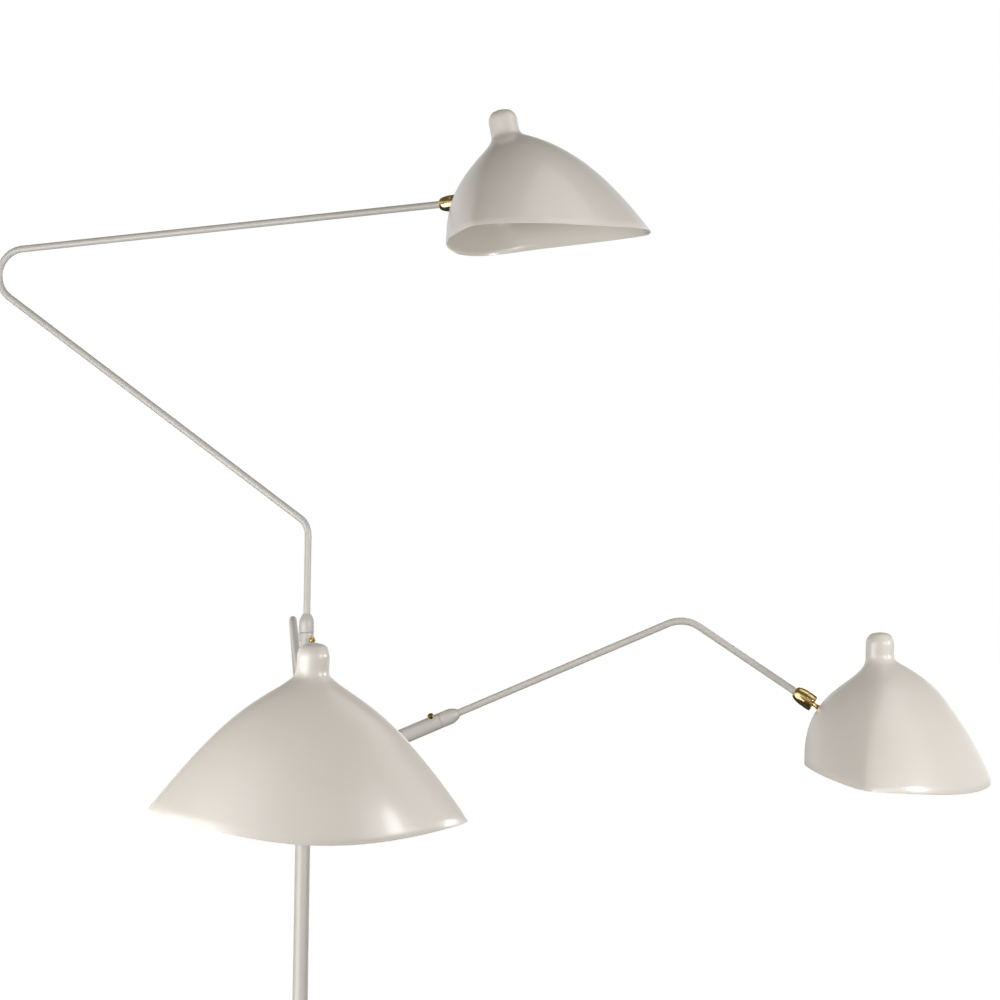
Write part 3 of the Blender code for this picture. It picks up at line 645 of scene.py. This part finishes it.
def make_mast():
    """Mast tube with a rounded mouth, and the parts hidden in it."""
    bore = MAST_RADIUS - TUBE_WALL
    mast = [(bore, MAST_TOP), (MAST_RADIUS, MAST_TOP), (MAST_RADIUS, 0.026), (bore, 0.026)]
    piece_of("mast", lathe_mesh("mast", rounded(mast, 0.0005), 64), "stand", "tube_paint",
             nodes=["mast_tube"])
    block = [(0.0, BRANCH_HEIGHT - 0.028), (bore - 0.0006, BRANCH_HEIGHT - 0.028),
             (bore - 0.0006, BRANCH_HEIGHT - 0.043), (0.0, BRANCH_HEIGHT - 0.043)]
    piece_of("wire_block", lathe_mesh("wire_block", rounded(block, 0.001), 32), "stand",
             "holder_plastic", nodes=["branch_block"])
    piece_of("feed_wire", sweep_mesh("feed_wire", [(0, 0, 0.054), (0, 0, BRANCH_HEIGHT + 0.12)],
                                     0.0022, 12), "stand", "wire_jacket", nodes=["mast_wire"])


def make_sleeve(arm):
    """Side sleeve welded to the mast, with its weld bead."""
    mouth, axis = joint_line(f"{arm}_arm_turn")
    place = frame_matrix(mouth - axis * SLEEVE_LENGTH, axis, -UP)
    bore = MAST_RADIUS - TUBE_WALL
    tube = [(bore, SLEEVE_LENGTH), (MAST_RADIUS, SLEEVE_LENGTH), (MAST_RADIUS, 0.0060),
            (bore, 0.0060)]
    piece_of(f"{arm}_sleeve", lathe_mesh(f"{arm}_sleeve", rounded(tube, 0.0005), 64), "stand",
             "tube_paint", place, [f"sleeve_{arm}"])
    bead = []
    down, side = place.col[0].to_3d(), place.col[1].to_3d()
    for step in range(72):
        turn = math.tau * step / 72
        ring = MAST_RADIUS * (down * math.cos(turn) + side * math.sin(turn))
        flat = Vector((ring.x, ring.y))
        run = Vector((axis.x, axis.y))
        a, b = run.length_squared, flat.dot(run)
        c = flat.length_squared - (MAST_RADIUS + 0.0004) ** 2
        reach = (-b + math.sqrt(max(b * b - a * c, 0.0))) / a
        bead.append(place.translation + ring + axis * reach)
    name = f"{arm}_sleeve_weld"
    piece_of(name, sweep_mesh(name, bead, 0.0014, 10, closed=True), "stand", "tube_paint")


def make_clamp_screw(arm):
    """Clamp screw with a raised pad under its head."""
    seat, outward = joint_line(f"{arm}_clamp_screw_turn")
    pad = seat + outward * (MAST_RADIUS - 0.0006)
    boss = [(0.0, 0.0013), (0.0056, 0.0013), (0.0066, 0.0), (0.0, 0.0)]
    place = frame_matrix(pad, outward, UP)
    piece_of(f"{arm}_screw_boss", lathe_mesh(f"{arm}_screw_boss", rounded(boss, 0.0008), 40),
             "stand", "tube_paint", place)
    screw_head(f"{arm}_socket_screw", seat + outward * (MAST_RADIUS + 0.0008), outward,
               f"{arm}_screw", 0.0047, 0.0044, [f"{arm}_clamp_screw"])


# ---------------------------------------------------------------- arms
def arm_frame(arm):
    """Frame of an arm at its sleeve's mouth: Z out of the sleeve, X towards the ball's side."""
    origin, axis = joint_line(f"{arm}_arm_turn")
    ball, _ = joint_line(f"{arm}_barrel_turn")
    aside = ball - origin
    return frame_matrix(origin, axis, aside - axis * aside.dot(axis)), ball


def make_arm(arm):
    """Turned bush with softened edges, and the bent tube that leaves it."""
    place, ball = arm_frame(arm)
    tip = place.inverted() @ ball
    taper = BUSH_LENGTH - BUSH_COLLAR - 0.0006
    bush = [(0.0030, BUSH_LENGTH), (0.0061, BUSH_LENGTH)]
    for step in range(11):
        share = 1 - step / 10
        bush.append((0.0064 + (MAST_RADIUS - 0.0064) * (1 - share ** 1.9),
                     BUSH_COLLAR + taper * share))
    bush += [(MAST_RADIUS, 0.0004), (0.0091, 0.0004), (0.0091, -0.040), (0.0030, -0.040)]
    piece_of(f"{arm}_bush", lathe_mesh(f"{arm}_bush", rounded(bush, 0.0004), 64), f"{arm}_arm",
             "tube_paint", place, [f"{arm}_arm_bush"])
    if arm == "upper":
        first = Vector((0.0, 0.0, UPPER_FIRST_RISE))
        back = first + UPPER_BACK_REACH * Vector((-1.0, 0.0, math.tan(UPPER_SLOPE)))
        corners, radii = [first, back], (UPPER_FIRST_BEND, UPPER_BACK_BEND)
    else:
        corners, radii = [Vector((0.0, 0.0, SIDE_CORNER - SLEEVE_LENGTH))], (SIDE_BEND,)
    ahead = (tip - corners[-1]).normalized()
    end = tip - ahead * (BARREL_BACK - 0.006)
    start = Vector((0.0, 0.0, 0.006))
    points = bent_line([start] + corners + [end], radii)
    piece_of(f"{arm}_tube", sweep_mesh(f"{arm}_tube", points, ARM_RADIUS, 32), f"{arm}_arm",
             "tube_paint", place, [f"{arm}_arm_tube", f"{arm}_arm_wire"])


# ---------------------------------------------------------------- heads
def make_barrel(arm):
    """Bullet-shaped barrel with a milled slot, a relieved band and a bored mouth."""
    ball, axis = joint_line(f"{arm}_barrel_turn")
    _, tilt_axis = joint_line(f"{arm}_shade_tilt")
    place = frame_matrix(ball, axis, tilt_axis.cross(axis))
    cavity = BALL_RADIUS + 0.0003
    outer = [(0.0062, BARREL_FRONT), (BARREL_RADIUS - 0.0012, BARREL_FRONT),
             (BARREL_RADIUS - 0.0002, BARREL_FRONT - 0.0012), (BARREL_RADIUS, 0.0012),
             (BARREL_RADIUS, -0.0052), (BARREL_RADIUS - 0.0005, -0.0056),
             (BARREL_RADIUS - 0.0005, -0.0064), (BARREL_RADIUS, -0.0068)]
    for step in range(1, 15):
        turn = math.pi / 2 * step / 14
        outer.append((0.0058 + (BARREL_RADIUS - 0.0058) * math.cos(turn),
                      BARREL_NOSE - BARREL_BACK - BARREL_NOSE * math.sin(turn)))
    inner = [(ARM_RADIUS + 0.0002, -BARREL_BACK), (ARM_RADIUS + 0.0002, 0.006 - BARREL_BACK)]
    low = 0.35
    high = math.pi - math.asin(0.0060 / cavity)
    for step in range(15):
        turn = low + (high - low) * step / 14
        inner.append((cavity * math.sin(turn), -cavity * math.cos(turn)))
    name = f"{arm}_barrel"
    mesh = lathe_mesh(name, outer + inner, 64)
    piece = piece_of(name, mesh, f"{arm}_barrel", "brass", place, [f"{arm}_swivel_barrel"])
    slot = bmesh.new()
    bmesh.ops.create_cone(slot, cap_ends=True, segments=32, radius1=SLOT_WIDTH / 2,
                          radius2=SLOT_WIDTH / 2, depth=0.030,
                          matrix=Matrix.Translation((0.015, 0.0, 0.0033))
                          @ Matrix.Rotation(math.pi / 2, 4, "Y"))
    bmesh.ops.create_cube(slot, size=1.0, matrix=Matrix.Translation((0.015, 0.0, 0.0133))
                          @ Matrix.Diagonal((0.030, SLOT_WIDTH, 0.020, 1.0)))
    cut_out(piece, slot)


def cut_out(piece, shape):
    """Cut a bmesh's shape, given in the piece's coordinates, out of the piece."""
    mesh = bpy.data.meshes.new("cutter")
    shape.to_mesh(mesh)
    shape.free()
    tool = bpy.data.objects.new("cutter", mesh)
    bpy.context.scene.collection.objects.link(tool)
    tool.matrix_world = piece.matrix_world
    boolean = piece.modifiers.new("cut", "BOOLEAN")
    boolean.operation = "DIFFERENCE"
    boolean.solver = "EXACT"
    boolean.use_self = True
    boolean.object = tool
    bpy.context.view_layer.update()
    graph = bpy.context.evaluated_depsgraph_get()
    result = bpy.data.meshes.new_from_object(piece.evaluated_get(graph))
    piece.modifiers.clear()
    old = piece.data
    piece.data = result
    result.name = piece.name
    bpy.data.meshes.remove(old)
    bpy.data.objects.remove(tool, do_unlink=True)
    bpy.data.meshes.remove(mesh)
    result.shade_smooth()
    result.set_sharp_from_angle(angle=math.radians(38.0))


def make_stud(arm):
    """Ball, waisted neck and trumpet-shaped flare of the stud."""
    ball, axis = joint_line(f"{arm}_shade_spin")
    _, tilt_axis = joint_line(f"{arm}_shade_tilt")
    place = frame_matrix(ball, axis, tilt_axis.cross(axis))
    neck = 0.0029
    flare_top = STUD_LENGTH - 0.0020
    profile = [(0.0, flare_top), (0.0068, flare_top), (0.0068, flare_top - 0.0006)]
    flare = flare_top - 0.0006 - 0.0105
    for step in range(1, 13):
        turn = math.pi / 2 * step / 12
        profile.append((0.0068 - (0.0068 - neck) * math.sin(turn), 0.0105 + flare * math.cos(turn)))
    start = math.asin(neck / BALL_RADIUS)
    for step in range(19):
        turn = start + (math.pi - start) * step / 18
        radius = BALL_RADIUS * math.sin(turn) if step < 18 else 0.0
        profile.append((radius, BALL_RADIUS * math.cos(turn)))
    piece_of(f"{arm}_stud", lathe_mesh(f"{arm}_stud", profile, 48), f"{arm}_stud", "brass", place,
             [f"{arm}_ball_stud"])
    return place


def shade_place(arm, stud):
    """Matrix of a shade: its pose, and its seat on the stud."""
    heading, pitch, bank = (math.radians(value) for value in POSES[arm])
    attitude = (Matrix.Rotation(heading, 3, "Z") @ Matrix.Rotation(pitch, 3, "Y")
                @ Matrix.Rotation(bank, 3, "X"))
    seat, _ = stud_seat()
    place = attitude.to_4x4()
    place.translation = stud @ Vector((0.0, 0.0, STUD_LENGTH)) - attitude @ seat
    return place


def make_fastening(arm, stud):
    """Dished flange outside the shade, and the lock nut with its thread inside."""
    body = f"{arm}_head"
    flange = [(0.0, STUD_LENGTH - 0.0003), (0.0098, STUD_LENGTH - 0.0001),
              (0.0100, STUD_LENGTH - 0.0008), (0.0085, STUD_LENGTH - 0.0015),
              (0.0, STUD_LENGTH - 0.0019)]
    piece_of(f"{arm}_flange", lathe_mesh(f"{arm}_flange", rounded(flange, 0.0004), 56), body,
             "brass", stud, [f"{arm}_stud_flange"])
    inside = STUD_LENGTH + SHEET
    thread = [(0.0, inside + 0.0095)]
    for turn in range(8):
        height = inside + 0.0092 - turn * 0.0011
        thread += [(0.0027, height), (0.0031, height - 0.00055)]
    thread += [(0.0031, inside + 0.0004), (0.0, inside + 0.0004)]
    piece_of(f"{arm}_thread", lathe_mesh(f"{arm}_thread", thread, 32), body, "brass", stud)
    nut = [(0.0032, inside + 0.0050), (0.0056, inside + 0.0050), (0.0064, inside + 0.0043),
           (0.0064, inside + 0.0016), (0.0056, inside + 0.0009), (0.0032, inside + 0.0009)]
    piece_of(f"{arm}_nut", lathe_mesh(f"{arm}_nut", nut, 6), body, "flat_brass", stud,
             [f"{arm}_lock_nut"], sharp=20.0)
    washer = [(0.0032, inside + 0.0009), (0.0080, inside + 0.0009), (0.0080, inside + 0.0002),
              (0.0032, inside + 0.0002)]
    piece_of(f"{arm}_washer", lathe_mesh(f"{arm}_washer", rounded(washer, 0.0002), 48), body,
             "flat_brass", stud)


def make_holder(arm, place):
    """Lampholder with moulded ribs, its threaded skirt and shade ring, and the opal bulb."""
    body = f"{arm}_head"
    holder = [(0.0, CAP_HEIGHT - 0.0045), (0.0080, CAP_HEIGHT - 0.0050),
              (0.0135, CAP_HEIGHT - 0.0085), (HOLDER_RADIUS, CAP_HEIGHT - 0.0165),
              (HOLDER_RADIUS, 0.0060)]
    for turn in range(5):
        height = 0.0050 - turn * 0.0028
        holder += [(HOLDER_RADIUS - 0.0009, height), (HOLDER_RADIUS, height - 0.0014)]
    holder += [(HOLDER_RADIUS - 0.0004, -0.0090), (BULB_CAP_RADIUS + 0.0008, -0.0090),
               (BULB_CAP_RADIUS + 0.0008, 0.0210), (0.0, 0.0210)]
    piece_of(f"{arm}_holder", lathe_mesh(f"{arm}_holder", rounded(holder, 0.0005, 2), 56), body,
             "holder_plastic", place, [f"{arm}_lampholder"])

    def build(shape):
        steps, grip = 96, 0.0005
        levels = ((HOLDER_RADIUS + 0.0002, 0.0010), (0.0190, 0.0010), (0.0196, 0.0002),
                  (0.0196, -0.0026), (0.0190, -0.0032), (HOLDER_RADIUS + 0.0002, -0.0032))
        rings = []
        for radius, height in levels:
            ring = []
            for k in range(steps):
                ripple = grip * (k % 4 < 2) if radius > 0.0185 else 0.0
                turn = math.tau * k / steps
                ring.append(shape.verts.new(((radius - ripple) * math.cos(turn),
                                             (radius - ripple) * math.sin(turn), height)))
            rings.append(ring)
        for one, other in zip(rings, rings[1:] + rings[:1]):
            for k in range(steps):
                following = (k + 1) % steps
                shape.faces.new((one[k], one[following], other[following], other[k]))
    piece_of(f"{arm}_ring", mesh_from(f"{arm}_ring", build), body, "holder_plastic", place,
             [f"{arm}_holder_ring"], sharp=25.0)
    bulb = [(0.0, 0.0200), (BULB_CAP_RADIUS - 0.003, 0.0200), (BULB_CAP_RADIUS, 0.0180),
            (BULB_CAP_RADIUS, -0.0090), (BULB_CAP_RADIUS + 0.0003, -0.0150)]
    centre = -0.0120 - BULB_LENGTH + BULB_RADIUS
    for step in range(25):
        turn = math.radians(44.0) + (math.pi - math.radians(44.0)) * step / 24
        radius = BULB_RADIUS * math.sin(turn) if step < 24 else 0.0
        bulb.append((radius, centre + BULB_RADIUS * math.cos(turn)))
    piece_of(f"{arm}_globe", lathe_mesh(f"{arm}_globe", bulb, 64), body, "bulb_diffuser", place,
             [f"{arm}_bulb"], sharp=60.0)


def make_lead(arm, place):
    """Lead from the stud's end up the inside of the shade to the lampholder."""
    seat, normal = stud_seat()
    start = seat - normal * 0.0100
    bend = seat - normal * 0.0150 + Vector((0.006, 0.0, 0.004))
    side = Vector((-HOLDER_RADIUS - 0.0050, 0.0, -0.0180))
    end = Vector((-HOLDER_RADIUS + 0.0015, 0.0, -0.0110))
    points = bent_line([start, bend, side, end], [0.005, 0.004], steps=10)
    name = f"{arm}_flex"
    piece_of(name, sweep_mesh(name, points, 0.0014, 14), f"{arm}_head", "wire_jacket", place,
             [f"{arm}_lead"])


def make_rivet(arm, place):
    """Small domed rivet beside the flange, with its clenched end inside."""
    angle = math.pi - 0.115
    controls = meridian(angle)
    level = MOUNT_LEVEL + 0.012
    point = along(controls, level)
    slope = (along(controls, level + 0.001) - point).normalized()
    seat = Vector((point.x * math.cos(angle), point.x * math.sin(angle), point.y))
    normal = Vector((-slope.y * math.cos(angle), -slope.y * math.sin(angle), slope.x))
    head = [(0.0, 0.0014)]
    for step in range(1, 9):
        turn = math.pi / 2 * step / 8
        head.append((0.0030 * math.sin(turn), 0.0014 * math.cos(turn)))
    head += [(0.0030, -0.0002), (0.0014, -0.0003), (0.0014, -SHEET - 0.0002),
             (0.0024, -SHEET - 0.0003), (0.0022, -SHEET - 0.0012), (0.0, -SHEET - 0.0014)]
    local = frame_matrix(seat, normal, UP)
    name = f"{arm}_rivet"
    piece_of(name, lathe_mesh(name, head, 32), f"{arm}_head", "flat_brass", place @ local)


def make_head(arm):
    """Everything from the arm's end outward."""
    make_barrel(arm)
    stud = make_stud(arm)
    place = shade_place(arm, stud)
    name = f"{arm}_folded_shade"
    piece_of(name, shade_mesh(name), f"{arm}_head", "shade_paint", place, [f"{arm}_shade"],
             sharp=60.0)
    make_fastening(arm, stud)
    make_holder(arm, place)
    make_lead(arm, place)
    make_rivet(arm, place)


make_hub()
make_legs()
make_mast()
for side_arm in ("right", "front"):
    make_sleeve(side_arm)
for arm_name in ARMS:
    make_clamp_screw(arm_name)
    make_arm(arm_name)
    make_head(arm_name)


# ---------------------------------------------------------------- stage, light and camera
FLOOR_RADIUS = 140.0
FLOOR_GLOW = 0.83
CAMERA_PLACE = (0.2733, -5.0, 1.39)
CAMERA_LENS = 125.9
CAMERA_PITCH = math.radians(1.965)
CAMERA_ROLL = math.radians(0.90)
FRONT_SHADE = (0.14, -0.93, 1.165)
RIGHT_SHADE = (0.84, -0.29, 1.18)
LEFT_PART = (-0.1, -0.8, 1.25)
MIDDLE = (0.3, -0.45, 1.45)
LIGHTS = (  # name, place, what it is aimed at, size, power in watts
    ("key", (2.01, -2.29, 1.83), FRONT_SHADE, (0.32, 0.80), 11.5),
    ("right_key", (2.45, -0.94, 1.68), RIGHT_SHADE, (0.30, 0.60), 15.4),
    ("left_fill", (-1.68, -1.64, 0.60), LEFT_PART, (2.3, 2.0), 40.0),
    ("side_fill", (-1.86, -1.11, 0.60), LEFT_PART, (1.3, 1.3), 11.0),
    ("front_fill", (-1.44, -2.14, 1.25), LEFT_PART, (1.3, 1.3), 10.0),
    ("high_fill", (-0.91, -2.32, 2.05), LEFT_PART, (1.3, 1.3), 4.2),
    ("right_fill", (2.70, -2.85, 1.75), MIDDLE, (1.8, 1.8), 19.6),
    ("right_top", (2.99, -1.17, 3.40), MIDDLE, (1.8, 1.8), 9.6),
    ("top", (1.3, -0.3, 3.2), (0.5, -0.2, 1.6), (1.2, 1.2), 5.0),
    ("back_fill", (1.7, 2.7, 1.4), (0.3, 0.0, 1.4), (2.0, 1.6), 22.0),
)


def make_floor():
    """Wide pale floor that glows enough to meet the white surround without an edge.

    Its glow stays off the lamp: diffuse and glossy rays pass it by.
    """
    profile = [(0.0, 0.0), (FLOOR_RADIUS, 0.0), (FLOOR_RADIUS, -0.05), (0.0, -0.05)]
    mesh = lathe_mesh("floor", profile, 96)
    floor = bpy.data.objects.new("floor", mesh)
    bpy.context.scene.collection.objects.link(floor)
    material, tree, shader = new_material("pale_floor", 0.8, Emission_Strength=FLOOR_GLOW)
    shader.inputs["Emission Color"].default_value = (1.0, 1.0, 1.0, 1.0)
    tree.links.new(ramp(tree, noise_of(tree, 0.8, 3.0), [(0.3, (0.84, 0.84, 0.84)),
                                                         (0.7, (0.87, 0.87, 0.87))]),
                   shader.inputs["Base Color"])
    mesh.materials.append(material)
    floor.visible_diffuse = False
    floor.visible_glossy = False


def make_world():
    """White surround to look at; it lights evenly and dimly, and gloss sees its bright horizon."""
    world = bpy.data.worlds.new("studio")
    bpy.context.scene.world = world
    world.use_nodes = True
    tree = world.node_tree
    background = tree.nodes["Background"]
    coordinates = tree.nodes.new("ShaderNodeTexCoord")
    split = tree.nodes.new("ShaderNodeSeparateXYZ")
    tree.links.new(coordinates.outputs["Generated"], split.inputs[0])
    horizon = ramp(tree, spread(tree, split.outputs["Z"], 0.0, 1.0, -1.0, 1.0),
                   [(0.30, (0.06, 0.06, 0.06)), (0.50, (0.50, 0.50, 0.50)),
                    (0.60, (0.85, 0.85, 0.85)), (0.78, (0.16, 0.16, 0.16))])
    paths = tree.nodes.new("ShaderNodeLightPath")
    mixes = []
    for ray, value in (("Is Glossy Ray", horizon), ("Is Camera Ray", None)):
        mix = tree.nodes.new("ShaderNodeMix")
        mix.data_type = "RGBA"
        tree.links.new(paths.outputs[ray], mix.inputs["Factor"])
        first, second = [socket for socket in mix.inputs if socket.type == "RGBA"]
        if mixes:
            tree.links.new(mixes[-1], first)
            second.default_value = (1.0, 1.0, 1.0, 1.0)
        else:
            first.default_value = (*STUDIO_GLOW, 1.0)
            tree.links.new(value, second)
        mixes.append([socket for socket in mix.outputs if socket.type == "RGBA"][0])
    tree.links.new(mixes[-1], background.inputs["Color"])


def area_light(name, location, target, size, power):
    """Soft rectangular light aimed at a point."""
    data = bpy.data.lights.new(name, "AREA")
    data.shape = "RECTANGLE"
    data.size, data.size_y = size
    data.energy = power
    light = bpy.data.objects.new(name, data)
    bpy.context.scene.collection.objects.link(light)
    light.visible_camera = False
    light.location = location
    aim = Vector(target) - Vector(location)
    light.rotation_euler = aim.to_track_quat("-Z", "Y").to_euler()


def make_camera():
    """Camera level with the branch, slightly tilted up and rolled."""
    data = bpy.data.cameras.new("camera")
    camera = bpy.data.objects.new("camera", data)
    bpy.context.scene.collection.objects.link(camera)
    data.sensor_width = 36.0
    data.lens = CAMERA_LENS
    data.clip_end = 400.0
    level = Matrix.Rotation(math.pi / 2, 4, "X")
    roll = Matrix.Rotation(CAMERA_ROLL, 4, "Z")
    pitch = Matrix.Rotation(CAMERA_PITCH, 4, "X")
    camera.matrix_world = Matrix.Translation(CAMERA_PLACE) @ level @ pitch @ roll
    bpy.context.scene.camera = camera


make_floor()
make_world()
for row in LIGHTS:
    area_light(*row)
make_camera()
bpy.context.scene.view_settings.view_transform = "Standard"
